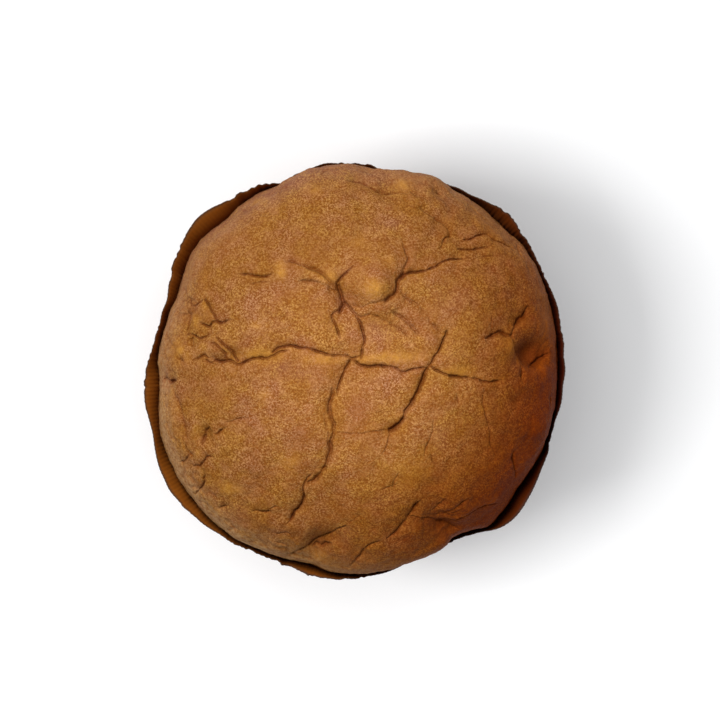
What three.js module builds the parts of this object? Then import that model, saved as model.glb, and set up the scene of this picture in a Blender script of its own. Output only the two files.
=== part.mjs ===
// A tall panettone in its brown baking paper case: one loaf, and the paper cup it was baked in.
// Millimetres, +Z up. The origin is the centre of the underside of the case, on the surface it
// stands on. Degrees are counted from +X towards +Y, as seen from above.
import * as THREE from "three";
import { mergeVertices } from "three/addons/utils/BufferGeometryUtils.js";

// Driving dimensions of the paper case
const BASE_RADIUS = 82; // outside radius where the wall meets the base
const BASE_FILLET = 2.5; // soft bend between base and wall
const PAPER = 1; // thickness of the fluted paper over its flutes
const RIM_HEIGHT = 108; // mean height of the rim
const RIM_WAVES = [
  { count: 3, rise: 1, start: 40 },
  { count: 7, rise: 0.5, start: 10 },
];
const FLARE_START = 0.86; // share of the height up to which the wall follows the dough

// Uneven places are traced by eye in a square picture taken from straight above, as
// [right, down] from its top left corner. These sizes turn them into millimetres.
const PICTURE_SIZE = 720;
const PICTURE_AT_RIM = 304.4; // width of the picture, measured at the height of the rim
const CAMERA_AT = [2.3, 4.7]; // the middle of the picture, in plan
const CAMERA_OVER_RIM = 1100;
const PLACING_ROUNDS = 6; // rounds that settle where a place of the picture lies on the crown

// The rim, outside the paper, traced at its bends. Where the crust hides it, it is a guess.
const RIM_TRACE = [
  [565, 362], [554, 298], [533, 252], [520, 232], [511, 217], [475, 197], [449, 185], [410, 174],
  [385, 170], [367, 164], [326, 163], [300, 173], [281, 182], [252, 187], [232, 197], [196, 219],
  [185, 236], [170, 278], [165, 306], [153, 344], [144, 388], [152, 435], [166, 485], [177, 500],
  [200, 522], [238, 545], [278, 561], [312, 576], [359, 578], [386, 572], [424, 554], [449, 543],
  [471, 534], [503, 526], [522, 508], [534, 488], [540, 476], [546, 460], [550, 438], [561, 405],
];

// The edge of the crust, traced at its bends
const CRUST_TRACE = [
  [558, 360], [553, 315], [546, 288], [530, 254], [500, 223], [471, 199], [458, 192], [432, 176],
  [404, 171], [375, 168], [345, 163], [313, 168], [281, 183], [249, 198], [225, 219], [198, 242],
  [183, 272], [177, 294], [165, 323], [157, 362], [159, 382], [159, 428], [171, 465], [198, 507],
  [233, 538], [268, 554], [308, 564], [331, 573], [376, 573], [401, 566], [443, 548], [453, 539],
  [470, 532], [490, 526], [502, 513], [518, 489], [537, 461], [549, 435], [557, 390],
];

// Driving dimensions of the loaf
const LOAF_TOP = 150; // height of the crown before its lumps and folds
const CROWN_FULLNESS = 2.3; // 2 is an ellipse, more is a squarer shoulder
const CRUST_DROP = 5; // where there is room inside the paper, the widest ring is this far below the rim
const CRUST_LIFT = 5; // where the dough hangs over the paper, it is this far above the rim
const OVERHANG_CLEARANCE = 1.2; // height of the dough over the paper that it hangs across
const GAP = 0.3; // clearance between loaf and paper
const SHOULDER_GAP = 0.5; // how much wider the foot of the flare is than the crust
const HANGS_FROM = [-1.5, 1]; // how far the crust passes the inside of the rim, as it begins to hang
const RELIEF_FADE = [0.93, 1]; // share of the crust's radius over which folds run out at the edge

// Lumps (rise above 0) and hollows (below 0) of the crown: place in the picture, reach and rise
const LUMPS = [
  { name: "knob", at: [373, 290], reach: 13, rise: 3 },
  { name: "fold band", at: [318, 275], reach: 6, rise: 1.6 },
  { name: "fold band foot", at: [290, 270], reach: 5, rise: 1.4 },
  { name: "lip of the main crack", at: [395, 358], reach: 8, rise: 1.2 },
  { name: "plate left of the long crack", at: [281, 416], reach: 20, rise: 1.5 },
  { name: "plate between the long cracks", at: [364, 411], reach: 12, rise: 1 },
  { name: "right shoulder", at: [482, 318], reach: 16, rise: 1.6 },
  { name: "upper left shoulder", at: [252, 254], reach: 20, rise: 1.2 },
  { name: "left fold", at: [210, 328], reach: 7, rise: 2 },
  { name: "lower left rim fold", at: [195, 444], reach: 9, rise: 1.6 },
  { name: "right dent", at: [532, 353], reach: 7, rise: -4.5 },
  { name: "lower right pinch", at: [434, 531], reach: 9, rise: -5 },
  { name: "flap under the pinch", at: [480, 520], reach: 8, rise: -2.5 },
  { name: "lower dent", at: [317, 547], reach: 6, rise: -3.5 },
  { name: "root of the knob", at: [345, 304], reach: 5, rise: -2.5 },
];

// Creases in the crust: depth and half width at the top of the groove, and the route in the picture
const CREASES = [
  {
    name: "main crack", depth: 2.6, half: 4,
    route: [
      [192, 364], [210, 359], [238, 364], [278, 348], [300, 347], [360, 358], [390, 367], [433, 367],
      [475, 378], [504, 380],
    ],
  },
  {
    name: "diagonal", depth: 3, half: 4.2,
    route: [[447, 331], [424, 377], [406, 412], [390, 430], [381, 457]],
  },
  { name: "soft fold", depth: 1.6, half: 4, route: [[398, 289], [428, 314], [446, 333]] },
  {
    name: "knob right", depth: 3, half: 4,
    route: [[401, 234], [409, 262], [396, 289], [378, 302], [352, 306]],
  },
  { name: "knob branch", depth: 2.4, half: 4, route: [[398, 282], [431, 270], [463, 257]] },
  { name: "knob left", depth: 3.2, half: 4, route: [[357, 264], [340, 281], [343, 303], [340, 311]] },
  { name: "centre upright", depth: 2, half: 3.6, route: [[344, 300], [358, 317], [365, 340], [360, 358]] },
  { name: "left upright", depth: 2, half: 3.6, route: [[341, 309], [334, 322], [341, 341]] },
  { name: "fold band top", depth: 2, half: 3.6, route: [[284, 263], [310, 268], [337, 287]] },
  { name: "fold band foot", depth: 1.6, half: 3.6, route: [[236, 274], [274, 278], [314, 282], [338, 290]] },
  {
    name: "long crack", depth: 2.6, half: 4,
    route: [
      [351, 359], [335, 399], [329, 415], [334, 430], [326, 464], [305, 484], [303, 500], [286, 525],
    ],
  },
  { name: "lower right crack", depth: 1.4, half: 3.6, route: [[433, 415], [433, 433], [424, 458]] },
  { name: "right side crack", depth: 1.8, half: 3.6, route: [[483, 387], [489, 430], [495, 456]] },
  {
    name: "right hook", depth: 2.8, half: 4,
    route: [[484, 341], [496, 333], [512, 335], [523, 360], [523, 386]],
  },
  { name: "right hook branch", depth: 2, half: 3.6, route: [[512, 336], [528, 313], [526, 298]] },
  { name: "upper right fold", depth: 2, half: 3.6, route: [[438, 255], [449, 237], [485, 236], [521, 253]] },
  { name: "top fold", depth: 2, half: 3.6, route: [[346, 179], [375, 186], [409, 193]] },
  { name: "lower left fold", depth: 2.2, half: 3.8, route: [[202, 438], [222, 430], [252, 414]] },
  { name: "left fold", depth: 2.6, half: 4, route: [[205, 332], [220, 339], [238, 360]] },
  { name: "bottom fold", depth: 2.6, half: 4, route: [[357, 519], [330, 535], [308, 547]] },
  { name: "pinch fold", depth: 3, half: 4, route: [[421, 499], [411, 517], [383, 542], [353, 564]] },
  { name: "pinch ray", depth: 2.6, half: 3.6, route: [[411, 520], [450, 518], [501, 503]] },
];

// Fineness of the meshes
const CROWN_RINGS = 32; // ring k of the crown has 6 * k corners
const PROFILE_SAMPLES = 120;
const CASE_COLUMNS = 3 * CROWN_RINGS; // half the corners of the widest ring, so both meshes line up
const WALL_ROWS = [0.3, 0.6, FLARE_START, 0.895, 0.93, 0.965]; // shares of the wall's height
const TUCK_ROWS = 3; // rows of the loaf between its widest ring and the foot of the flare

const PAPER_LOOK = { color: 0x6b3a16, roughness: 0.85, metalness: 0 };
const CRUST_LOOK = { color: 0xa76a37, roughness: 0.7, metalness: 0 };
const TAU = 2 * Math.PI;

// Where a place of the picture lies in plan, on what is this far over the rim
function planAt([right, down], overRim) {
  const scale = (PICTURE_AT_RIM / PICTURE_SIZE) * (1 - overRim / CAMERA_OVER_RIM);
  const middle = PICTURE_SIZE / 2;
  return [CAMERA_AT[0] + (right - middle) * scale, CAMERA_AT[1] + (middle - down) * scale];
}

// A smooth closed outline through traced places of the picture, read at any angle in radians
function outline(trace) {
  const polar = ([x, y]) => {
    const degrees = THREE.MathUtils.radToDeg(Math.atan2(y, x));
    return [THREE.MathUtils.euclideanModulo(degrees, 360), Math.hypot(x, y)];
  };
  const plan = trace.map((place) => polar(planAt(place, 0))).sort((one, other) => one[0] - other[0]);
  const count = plan.length;
  const point = (index) => {
    const turns = Math.floor(index / count);
    const [degrees, radius] = plan[index - turns * count];
    return [degrees + 360 * turns, radius];
  };
  const slope = (index) => {
    const [before, low] = point(index - 1);
    const [after, high] = point(index + 1);
    return (high - low) / (after - before);
  };
  return (angle) => {
    const degrees = THREE.MathUtils.euclideanModulo(THREE.MathUtils.radToDeg(angle), 360);
    const first = plan.findLastIndex(([start]) => start <= degrees);
    const [start, from] = point(first);
    const [end, to] = point(first + 1);
    const span = end - start;
    const share = (degrees - start) / span;
    const rest = 1 - share;
    const held = from * (1 + 2 * share) * rest ** 2 + to * (3 - 2 * share) * share ** 2;
    return held + span * share * rest * (slope(first) * rest - slope(first + 1) * share);
  };
}

const rimRadius = outline(RIM_TRACE);
const seenRadius = outline(CRUST_TRACE); // of the crust, as if its edge were as high as the rim

// How far the crust hangs over the paper at this angle: 0 inside, 1 where it covers the rim
function overhang(angle) {
  const over = seenRadius(angle) - (rimRadius(angle) - PAPER);
  return THREE.MathUtils.smoothstep(over, ...HANGS_FROM);
}

// Radius of the crust at its widest. The higher its edge is, the larger it looks from above.
function crustRadius(angle) {
  return seenRadius(angle) * (1 - (crustHeight(angle) - RIM_HEIGHT) / CAMERA_OVER_RIM);
}

function rimHeight(angle) {
  const wave = ({ count, rise, start }) =>
    rise * Math.cos(count * (angle - THREE.MathUtils.degToRad(start)));
  return RIM_HEIGHT + RIM_WAVES.reduce((sum, each) => sum + wave(each), 0);
}

// Outside radius of the paper at a share of its height: up along the dough, then flared to the rim
function wallRadius(angle, share) {
  const rim = rimRadius(angle);
  const shoulder = Math.min(crustRadius(angle) + SHOULDER_GAP, rim - PAPER);
  if (share <= FLARE_START) {
    return THREE.MathUtils.lerp(BASE_RADIUS, shoulder, Math.max(0, share / FLARE_START) ** 2);
  }
  const flare = (share - FLARE_START) / (1 - FLARE_START);
  return THREE.MathUtils.lerp(shoulder, rim, Math.min(1, flare) ** 2);
}

function crustHeight(angle) {
  return rimHeight(angle) + THREE.MathUtils.lerp(-CRUST_DROP, CRUST_LIFT, overhang(angle));
}

// Height of the smooth crown over a place in plan
function crownHeight(x, y) {
  const angle = Math.atan2(y, x);
  const widest = crustHeight(angle);
  const out = Math.min(1, Math.hypot(x, y) / crustRadius(angle));
  return widest + (LOAF_TOP - widest) * (1 - out ** CROWN_FULLNESS) ** (1 / CROWN_FULLNESS);
}

// Where a place of the picture lies in plan on the crown
function onCrown(place) {
  let [x, y] = planAt(place, 0);
  for (let round = 0; round < PLACING_ROUNDS; round += 1) {
    [x, y] = planAt(place, crownHeight(x, y) - RIM_HEIGHT);
  }
  return [x, y];
}

const lumps = LUMPS.map(({ at, reach, rise }) => ({ at: onCrown(at), reach, rise }));
const creases = CREASES.map(({ depth, half, route }) => ({ depth, half, route: route.map(onCrown) }));

// Distance in plan from a point to a route of straight stretches
function distanceTo(route, x, y) {
  const point = new THREE.Vector3(x, y, 0);
  const corners = route.map(([cx, cy]) => new THREE.Vector3(cx, cy, 0));
  const stretches = corners.slice(1).map((end, index) => new THREE.Line3(corners[index], end));
  const nearest = (line) => line.closestPointToPoint(point, true, new THREE.Vector3());
  return Math.min(...stretches.map((line) => nearest(line).distanceTo(point)));
}

// Rise of the crust over the smooth crown at a place in plan
function relief(x, y) {
  const swell = lumps.reduce((sum, { at, reach, rise }) => {
    const away = Math.hypot(x - at[0], y - at[1]) / reach;
    return sum + rise * Math.exp(-(away ** 2));
  }, 0);
  const grooves = creases.map(({ depth, half, route }) => {
    const away = distanceTo(route, x, y) / half;
    return away < 1 ? depth * (1 - away) ** 1.5 : 0;
  });
  return swell - Math.max(...grooves);
}

// Profile of the crown from its top to its widest ring, as shares of the radius and of the rise
function crownProfile() {
  const samples = [];
  for (let index = 0; index <= PROFILE_SAMPLES; index += 1) {
    const turn = (index / PROFILE_SAMPLES) * (Math.PI / 2);
    const out = Math.sin(turn) ** (2 / CROWN_FULLNESS);
    const up = Math.cos(turn) ** (2 / CROWN_FULLNESS);
    samples.push(new THREE.Vector2(out * BASE_RADIUS, up * (LOAF_TOP - RIM_HEIGHT)));
  }
  const spaced = new THREE.Path(samples).getSpacedPoints(CROWN_RINGS);
  return spaced.map((place) => [place.x / BASE_RADIUS, place.y / (LOAF_TOP - RIM_HEIGHT)]);
}

// A point of the crown, pushed out or in by the relief along the line from inside the loaf
function crownPoint(angle, [out, up]) {
  const widest = crustHeight(angle);
  const x = crustRadius(angle) * out * Math.cos(angle);
  const y = crustRadius(angle) * out * Math.sin(angle);
  const z = widest + (LOAF_TOP - widest) * up;
  const fade = 1 - THREE.MathUtils.smoothstep(out, ...RELIEF_FADE);
  const outward = new THREE.Vector3(x / 2, y / 2, z - widest / 2).normalize();
  return new THREE.Vector3(x, y, z).addScaledVector(outward, relief(x, y) * fade);
}

// Points down the side of the loaf at one angle, from below the widest ring to the underside
function sidePoints(angle) {
  const widest = crustHeight(angle);
  const cover = overhang(angle);
  const rim = rimHeight(angle);
  const inside = (z) => wallRadius(angle, z / rim) - PAPER - GAP;
  const flareFoot = FLARE_START * rim;
  const underWidest = THREE.MathUtils.lerp(widest, flareFoot, 1 / (TUCK_ROWS + 1));
  const tuckTop = THREE.MathUtils.lerp(underWidest, rim + OVERHANG_CLEARANCE, cover);
  const tuck = Array.from({ length: TUCK_ROWS + 1 }, (_, row) => {
    const z = THREE.MathUtils.lerp(tuckTop, flareFoot, row / TUCK_ROWS);
    const radius = Math.min(crustRadius(angle), inside(z));
    return [row === 0 ? radius - GAP * cover : radius, z];
  });
  const lowerRows = WALL_ROWS.filter((share) => share < FLARE_START).reverse();
  const floor = PAPER + GAP;
  const corner = floor + BASE_FILLET;
  return [
    ...tuck,
    ...lowerRows.map((share) => [inside(share * rim), share * rim]),
    [inside(corner), corner],
    [inside(floor) - BASE_FILLET, floor],
  ];
}

// Joins two rings of equal count into a band, with the upper or inner ring first
function band(faces, first, second, count) {
  for (let index = 0; index < count; index += 1) {
    const next = (index + 1) % count;
    faces.push(first + index, second + index, second + next);
    faces.push(first + index, second + next, first + next);
  }
}

// The loaf: a crown of rings that each gain six corners, then the side, then a flat underside
function loafGeometry() {
  const profile = crownProfile();
  const points = [crownPoint(0, profile[0])];
  const faces = [];
  const ringStart = (ring) => (ring === 0 ? 0 : 1 + 3 * ring * (ring - 1));
  for (let ring = 1; ring <= CROWN_RINGS; ring += 1) {
    for (let index = 0; index < 6 * ring; index += 1) {
      points.push(crownPoint((index / (6 * ring)) * TAU, profile[ring]));
    }
    for (let sector = 0; sector < 6; sector += 1) {
      const inner = (step) => ringStart(ring - 1) + ((sector * (ring - 1) + step) % (6 * (ring - 1) || 1));
      const outer = (step) => ringStart(ring) + ((sector * ring + step) % (6 * ring));
      for (let step = 0; step < ring; step += 1) {
        faces.push(inner(step), outer(step), outer(step + 1));
        if (step < ring - 1) {
          faces.push(inner(step), outer(step + 1), inner(step + 1));
        }
      }
    }
  }
  const columns = 6 * CROWN_RINGS;
  const sides = Array.from({ length: columns }, (_, index) => sidePoints((index / columns) * TAU));
  sides[0].forEach((_, row) => {
    band(faces, points.length - columns, points.length, columns);
    sides.forEach((side, index) => {
      const [radius, z] = side[row];
      const angle = (index / columns) * TAU;
      points.push(new THREE.Vector3(radius * Math.cos(angle), radius * Math.sin(angle), z));
    });
  });
  const lastRing = points.length - columns;
  points.push(new THREE.Vector3(0, 0, PAPER + GAP));
  for (let index = 0; index < columns; index += 1) {
    faces.push(lastRing + index, points.length - 1, lastRing + ((index + 1) % columns));
  }
  const geometry = new THREE.BufferGeometry().setFromPoints(points);
  geometry.setIndex(faces);
  return geometry;
}

// The paper case: a lathed cup whose profile is then bent out to the plan and wave of the rim.
// Each profile point is [share of the height, how far inside the outer face].
function caseGeometry() {
  const outer = WALL_ROWS.map((share) => [share, 0]);
  const inner = WALL_ROWS.map((share) => [share, PAPER]).reverse();
  const filletShare = BASE_FILLET / RIM_HEIGHT;
  const floorShare = PAPER / RIM_HEIGHT;
  const profile = [
    [0, BASE_RADIUS],
    [0, BASE_FILLET],
    [filletShare / 3, BASE_FILLET / 3],
    [filletShare, 0],
    ...outer,
    [1, 0],
    [1, PAPER],
    ...inner,
    [floorShare + filletShare, PAPER],
    [floorShare, PAPER + BASE_FILLET],
    [floorShare, BASE_RADIUS],
  ].map(([share, inset]) => new THREE.Vector2(BASE_RADIUS - inset, share * RIM_HEIGHT));
  const geometry = new THREE.LatheGeometry(profile, CASE_COLUMNS);
  geometry.rotateX(Math.PI / 2);
  const place = geometry.attributes.position;
  for (let index = 0; index < place.count; index += 1) {
    const x = place.getX(index);
    const y = place.getY(index);
    const reach = Math.hypot(x, y);
    if (reach < 1) {
      place.setXY(index, 0, 0);
      continue;
    }
    const angle = Math.atan2(y, x);
    const share = place.getZ(index) / RIM_HEIGHT;
    const z = place.getZ(index) + share ** 2 * (rimHeight(angle) - RIM_HEIGHT);
    const radius = wallRadius(angle, z / rimHeight(angle)) - (BASE_RADIUS - reach);
    place.setXYZ(index, radius * Math.cos(angle), radius * Math.sin(angle), z);
  }
  return geometry;
}

// Merges the corners that faces share, so each piece is one closed skin with its faces outward
function closed(geometry) {
  geometry.deleteAttribute("normal");
  geometry.deleteAttribute("uv");
  const merged = mergeVertices(geometry);
  merged.computeVertexNormals();
  return merged;
}

function piece(name, geometry, look) {
  const mesh = new THREE.Mesh(closed(geometry), new THREE.MeshStandardMaterial(look));
  mesh.name = name;
  return mesh;
}

const panettone = new THREE.Group();
panettone.add(piece("paper_case", caseGeometry(), PAPER_LOOK));
panettone.add(piece("loaf", loafGeometry(), CRUST_LOOK));

export default panettone;
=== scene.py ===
# A panettone in its paper case, seen from straight above in soft white studio light.
# The loaf and its case are worked out in millimetres, with +Z up and the origin under the middle
# of the case, and are turned into metres where a mesh is made. Floor and lights are in metres.
# Angles are counted from +X towards +Y.
import math

import bpy
import numpy as np
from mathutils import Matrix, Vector


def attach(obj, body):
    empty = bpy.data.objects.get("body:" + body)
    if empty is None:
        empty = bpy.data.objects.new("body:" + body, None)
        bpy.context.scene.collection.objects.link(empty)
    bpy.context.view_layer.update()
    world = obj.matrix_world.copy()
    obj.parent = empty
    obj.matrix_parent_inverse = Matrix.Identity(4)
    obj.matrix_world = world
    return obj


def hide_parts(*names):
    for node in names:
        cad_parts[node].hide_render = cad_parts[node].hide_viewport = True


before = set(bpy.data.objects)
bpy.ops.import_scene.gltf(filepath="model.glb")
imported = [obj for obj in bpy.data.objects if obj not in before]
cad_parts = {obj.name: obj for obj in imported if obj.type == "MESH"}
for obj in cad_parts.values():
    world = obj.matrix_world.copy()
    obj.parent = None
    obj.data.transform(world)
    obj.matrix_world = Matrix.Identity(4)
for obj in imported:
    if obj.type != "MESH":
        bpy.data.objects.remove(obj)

MM = 0.001
TAU = 2 * math.pi
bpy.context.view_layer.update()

# ---- The camera, which also says where a place of the picture lies on the object ----
PICTURE_SIZE = 720
PICTURE_AT_RIM = 304.4   # width of the picture, measured at the height of the rim
CAMERA_AT = (2.3, 4.7)   # the middle of the picture, in plan
CAMERA_OVER_RIM = 1100
SENSOR = 36
PLACING_ROUNDS = 6       # rounds that settle where a place of the picture lies on the crown

# ---- Driving dimensions, the same as the solids have ----
BASE_RADIUS = 82
BASE_FILLET = 2.5
PAPER = 1
RIM_HEIGHT = 108
RIM_WAVES = [(3, 1.0, 40), (7, 0.5, 10)]  # count, rise, degrees of a crest
FLARE_START = 0.86
LOAF_TOP = 150
CROWN_FULLNESS = 2.3
CRUST_DROP = 5
CRUST_LIFT = 5
OVERHANG_CLEARANCE = 1.2
GAP = 0.3
SHOULDER_GAP = 0.5       # how much wider the foot of the flare is than the crust
HANGS_FROM = (-1.5, 1)   # how far the crust passes the inside of the rim, as it begins to hang

# Places below that are traced are in steps of the square picture, right and down from
# its top left corner. Sizes are in millimetres.

# The rim, outside the paper, traced at its bends. Where the crust hides it, it is a guess.
RIM_TRACE = [
    (565, 362), (554, 298), (533, 252), (520, 232), (511, 217), (475, 197), (449, 185), (410, 174),
    (385, 170), (367, 164), (326, 163), (300, 173), (281, 182), (252, 187), (232, 197), (196, 219),
    (185, 236), (170, 278), (165, 306), (153, 344), (144, 388), (152, 435), (166, 485), (177, 500),
    (200, 522), (238, 545), (278, 561), (312, 576), (359, 578), (386, 572), (424, 554), (449, 543),
    (471, 534), (503, 526), (522, 508), (534, 488), (540, 476), (546, 460), (550, 438), (561, 405),
]

# The edge of the crust, traced at its bends
CRUST_TRACE = [
    (558, 360), (553, 315), (546, 288), (530, 254), (500, 223), (471, 199), (458, 192), (432, 176),
    (404, 171), (375, 168), (345, 163), (313, 168), (281, 183), (249, 198), (225, 219), (198, 242),
    (183, 272), (177, 294), (165, 323), (157, 362), (159, 382), (159, 428), (171, 465), (198, 507),
    (233, 538), (268, 554), (308, 564), (331, 573), (376, 573), (401, 566), (443, 548), (453, 539),
    (470, 532), (490, 526), (502, 513), (518, 489), (537, 461), (549, 435), (557, 390),
]

# Lumps (rise above 0) and hollows (below 0) of the crown: place in the picture, reach and rise
LUMPS = [
    ("knob", (373, 287), 9.5, 6.4),
    ("brow of the knob", (388, 260), 8, 1.3),
    ("fold band, foot", (282, 271), 4, 2),
    ("fold band, middle", (306, 273), 4.5, 1.7),
    ("fold band, head", (327, 279), 4.5, 2.2),
    ("main lip, left", (370, 360), 5, 0.6),
    ("main lip, right", (398, 360), 6, 0.9),
    ("plate left of the long crack", (281, 416), 20, 1.5),
    ("plate between the long cracks", (364, 411), 12, 1),
    ("right shoulder", (482, 318), 16, 1.4),
    ("upper left shoulder", (252, 254), 20, 1.2),
    ("left flap", (205, 312), 5, 1.5),
    ("left arcs", (216, 350), 4.5, 2.2),
    ("left patch", (195, 320), 3, 0.9),
    ("left edge patch", (179, 350), 4, 1.6),
    ("left rim roll, upper", (167, 398), 6, 1),
    ("left rim roll, middle", (171, 420), 6, 1.3),
    ("left rim roll, lower", (178, 442), 6, 1.4),
    ("lower left rim fold", (195, 450), 7, 1.2),
    ("bulge over the right dent", (530, 320), 9, 1.8),
    ("plate left of the right dent", (508, 347), 5, 2.4),
    ("spot under the right dent", (544, 369), 3, 1.3),
    ("ridge over the bottom dent", (302, 543), 5, 1.6),
    ("shoulder over the pinch", (455, 502), 9, 1.5),
    ("right dent", (531, 353), 6, -7.5),
    ("pinch", (438, 527), 7, -4.2),
    ("root of the pinch", (414, 518), 4, -2),
    ("right of the long crack's foot", (332, 502), 9, -1.3),
    ("flap under the pinch", (480, 519), 8, -2.5),
    ("bottom dent", (315, 545), 5, -3.6),
    ("bottom dent, upper end", (331, 537), 4.5, -1.8),
    ("top hollow", (384, 185), 5, -2.4),
    ("upper right nick", (440, 191), 4, -1.5),
    ("foot of the left fold", (233, 354), 3.5, -2.4),
    ("root of the lower left fold", (205, 433), 3.5, -2),
    ("root of the knob", (350, 308), 5, -3.2),
    ("left root of the knob", (339, 293), 3, -1.6),
]
HOLLOW_SHADE = 0.11  # painted shade: the crust is painted darker in a hollow by this share for each millimetre

# ---- Creases of the crust ----
# Each crease: name, lift of the left and the right lip as one walks along, places of its route
GASHES = [
    ("diagonal, foot", 0.5, 0.6, (428, 369), (422, 381), (418, 392), (413, 402), (406, 412), (402, 420),
     (396, 427), (390, 430)),
    ("knob, right edge", 0.2, 0.6, (404, 273), (398, 281), (397, 289), (392, 296), (386, 301)),
    ("root of the knob", 0.3, 0.4, (338, 285), (341, 295), (343, 303), (340, 311)),
    ("right hook, bar", 0.4, 0.5, (484, 340), (490, 337), (495, 333), (500, 332), (505, 334),
     (512, 335)),
    ("right hook, branch", 0.3, 0.5, (513, 334), (515, 326), (519, 321), (524, 317), (527, 312),
     (528, 306)),
    ("right dent fold", 1.2, 0.1, (552, 352), (548, 357), (543, 361), (537, 365), (531, 369)),
    ("lower left, root", 0.4, 0.3, (201, 446), (202, 438), (205, 431), (210, 427)),
    ("left rim", 0.3, 0.4, (161, 380), (165, 378), (168, 382), (172, 381), (177, 381)),
]
CRACKS = [
    ("main, far left", 0.3, 0.8, (215, 361), (220, 361), (226, 361), (232, 362), (238, 364), (246, 361),
     (255, 358), (265, 358), (272, 355), (281, 351), (291, 350)),
    ("main, middle left", 0.3, 0.9, (272, 352), (278, 348), (288, 346), (300, 347), (312, 350),
     (322, 353), (333, 356), (345, 356), (353, 358), (360, 356)),
    ("main, middle right", 1.0, 0.3, (348, 356), (356, 363), (362, 366), (378, 366), (390, 367),
     (398, 369), (405, 371), (412, 369), (420, 368), (427, 369)),
    ("main, right", 0.9, 0.4, (429, 365), (438, 371), (447, 375), (455, 377), (475, 378), (483, 381),
     (490, 382), (504, 380)),
    ("diagonal, top", 0.4, 0.6, (447, 331), (445, 340), (440, 350), (435, 358), (429, 367)),
    ("knob, branch", 0.4, 0.9, (398, 282), (404, 276), (411, 272), (425, 271), (433, 268), (440, 264),
     (446, 260), (452, 258), (460, 258), (466, 259)),
    ("knob, left edge", 0.7, 0.3, (357, 264), (350, 268), (345, 272), (340, 279), (337, 285),
     (340, 291)),
    ("root, right hook", 0.5, 0.4, (344, 300), (350, 306), (355, 312), (361, 316), (370, 315),
     (380, 318)),
    ("centre upright", 0.7, 0.5, (352, 309), (358, 317), (362, 326), (365, 340), (363, 350),
     (361, 358)),
    ("left upright", 0.5, 0.5, (341, 309), (333, 314), (334, 322), (338, 331), (341, 341)),
    ("short crack", 0.5, 0.4, (351, 359), (347, 366), (345, 372), (341, 380), (338, 388), (335, 399)),
    ("long, tail", 0.6, 0.4, (312, 473), (307, 481), (303, 490), (303, 500), (299, 508), (293, 514),
     (290, 521), (285, 525)),
    ("bottom fold, second", 0.2, 0.4, (309, 551), (315, 548), (321, 551), (327, 548), (333, 544)),
]
GROOVES = [
    ("band, top", 0.1, 1.0, (284, 262), (292, 261), (300, 264), (310, 268), (320, 272), (329, 280),
     (337, 287)),
    ("long, top", 0.5, 0.4, (331, 385), (332, 394), (329, 405), (331, 415), (334, 425)),
    ("long, foot", 0.5, 0.6, (334, 423), (333, 433), (330, 443), (330, 452), (326, 464), (321, 474),
     (314, 481), (308, 484)),
    ("top fold", 0.2, 0.9, (346, 179), (358, 180), (367, 183), (375, 186), (386, 188), (399, 190),
     (409, 192)),
    ("pinch fold", 0.1, 0.8, (421, 499), (417, 504), (414, 509), (412, 514), (409, 519)),
]
FOLDS = [
    ("soft fold", 0.6, 0.1, (398, 289), (406, 297), (414, 302), (422, 307), (428, 314), (431, 322),
     (438, 328), (446, 333)),
    ("knob, upper edge", 0.2, 0.5, (402, 236), (404, 245), (407, 252), (409, 257), (406, 264),
     (403, 273), (397, 282)),
    ("knob, lower edge", 0.1, 0.5, (388, 300), (378, 303), (369, 305), (361, 307), (354, 306)),
    ("band, foot", 0.7, 0.1, (298, 281), (314, 282), (323, 285), (331, 289), (338, 290)),
    ("upper right arc", 0.1, 0.4, (418, 204), (430, 211), (440, 219), (448, 227), (451, 235)),
    ("lower left, end", 0.5, 0.3, (224, 422), (232, 421), (241, 419), (249, 417)),
    ("left rim fold", 0.2, 0.8, (172, 385), (177, 400), (181, 412), (184, 422), (186, 433), (187, 446),
     (190, 453)),
    ("left low furrow", 0.3, 0.3, (190, 336), (191, 343), (190, 351)),
    ("bottom fold, end", 0.2, 0.7, (307, 548), (298, 552), (288, 557)),
    ("pinch fold, lower", 0.3, 0.6, (409, 519), (403, 525), (399, 531), (392, 536), (385, 541)),
    ("pinch fold, tail", 0.3, 0.7, (381, 541), (370, 546), (363, 553), (356, 561), (350, 567)),
    ("pinch ray one", 0.2, 0.6, (445, 496), (442, 503), (436, 508), (428, 512)),
    ("pinch ray two", 0.2, 0.7, (470, 497), (462, 502), (455, 507), (446, 512), (440, 514)),
    ("pinch ray four", 0.2, 0.4, (430, 521), (437, 524), (446, 526), (455, 529), (462, 531)),
    ("knob fan one", 0.3, 0.6, (381, 319), (392, 324), (403, 331), (412, 339)),
    ("knob fan two", 0.3, 0.6, (388, 309), (402, 317), (416, 329), (425, 340)),
]
STEPS = [
    ("right hook, foot", 0.1, 1.4, (512, 336), (514, 344), (517, 350), (522, 354), (526, 360),
     (527, 367)),
    ("left furrow", 0.3, 0.5, (185, 309), (188, 316), (187, 325), (186, 332)),
    ("bottom fold", 0.1, 0.9, (345, 527), (335, 533), (328, 537), (322, 541), (314, 544), (307, 548)),
]
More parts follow.
